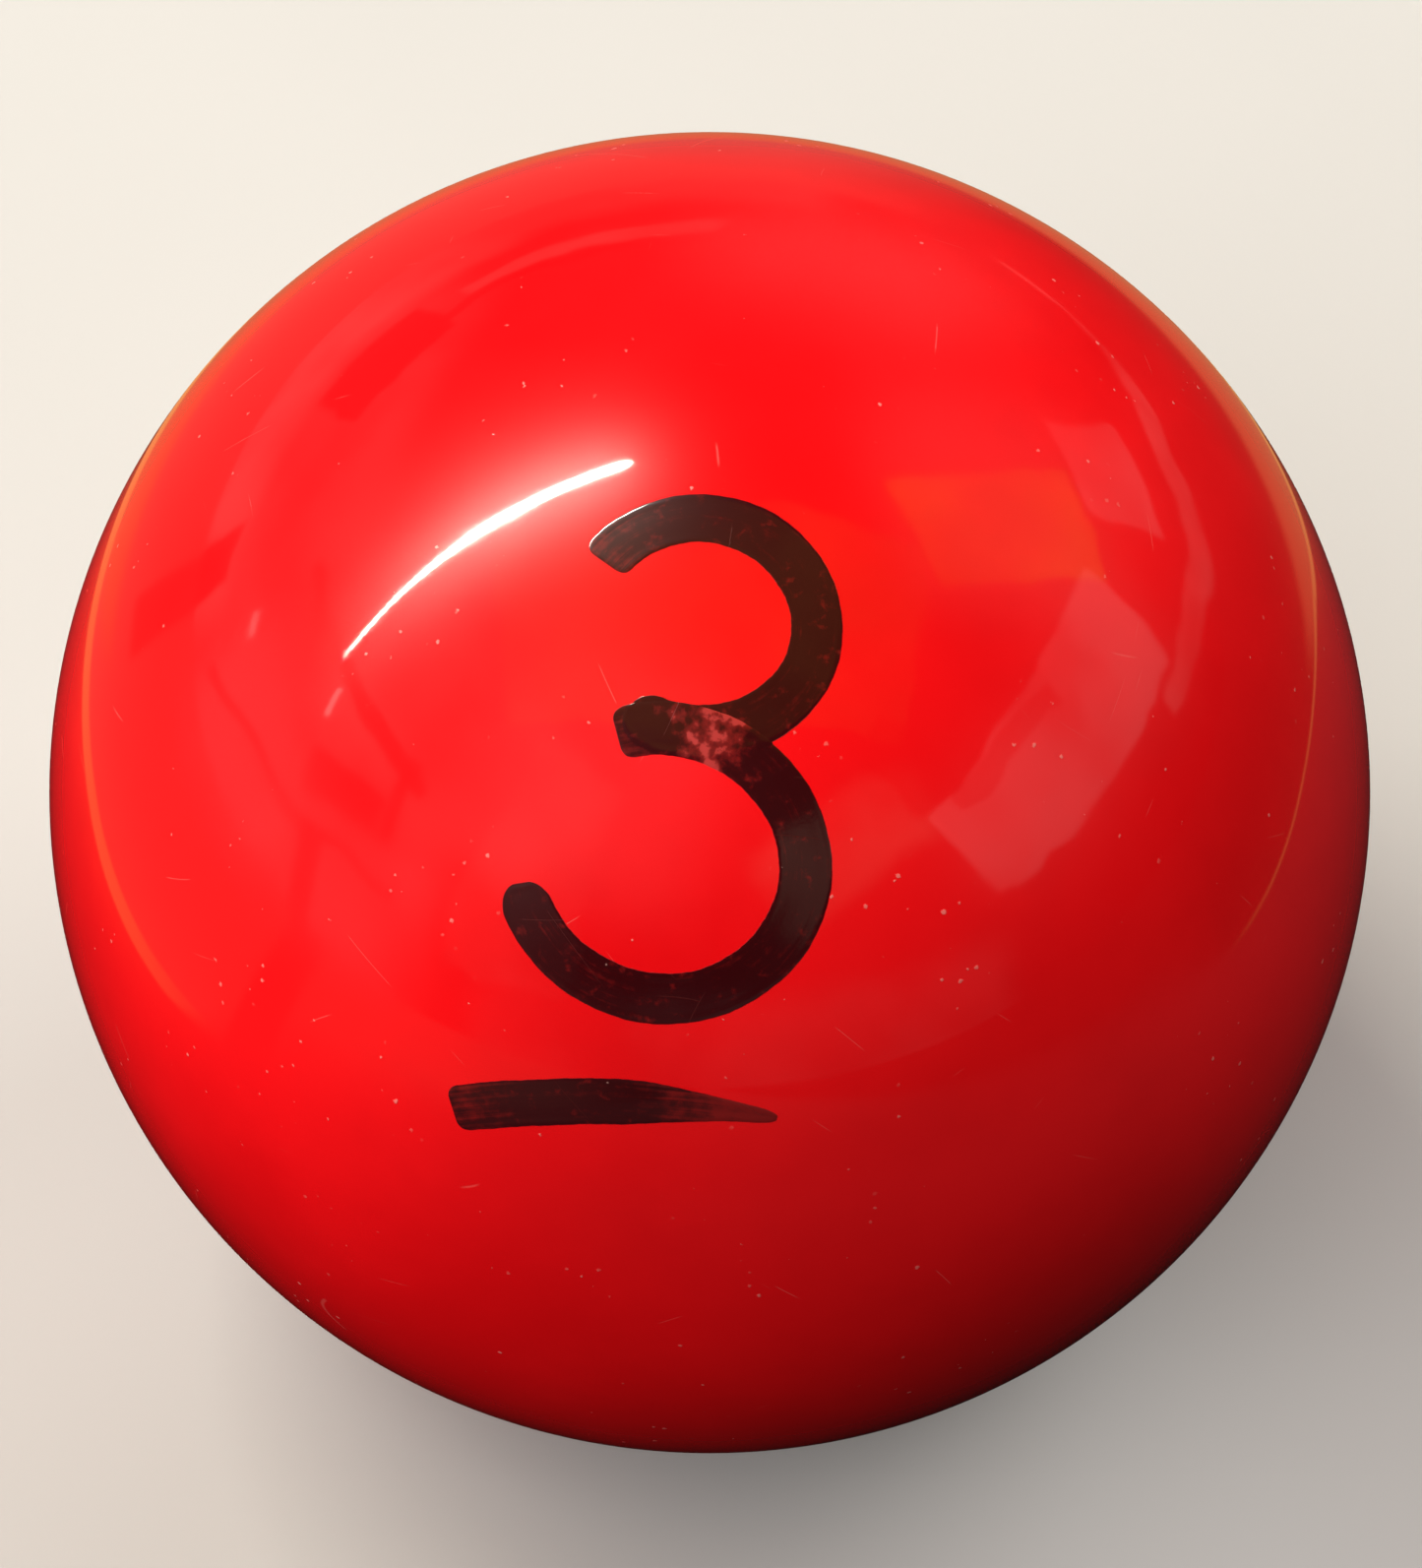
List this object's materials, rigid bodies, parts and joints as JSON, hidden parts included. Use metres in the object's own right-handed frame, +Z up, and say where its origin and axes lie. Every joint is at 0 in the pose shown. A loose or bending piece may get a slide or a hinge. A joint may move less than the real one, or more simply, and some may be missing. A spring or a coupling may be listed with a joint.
{
  "type": "snooker ball",
  "caption": "Solid glossy red cue-sports ball, cast in resin, with a number and a line under it drawn on in black marker.",
  "frame": {"origin": "centre of the ball", "axes": "+Z up; the inked number is on the side that faces -Y and up, and reads upright from there"},
  "size_m": [0.0524, 0.0524, 0.0524],
  "materials": {
    "resin_red": "polished cast phenolic resin, mirror-like under studio light, with hairline scratches and specks of dust",
    "marker_ink": "dried permanent marker ink, glossy, brown-black where it is thin and near black where two strokes cross"
  },
  "bodies": {
    "root": {"ball_body": "resin_red", "ink_upper_bowl": "marker_ink", "ink_lower_bowl": "marker_ink", "ink_underline": "marker_ink"}
  },
  "joints": []
}
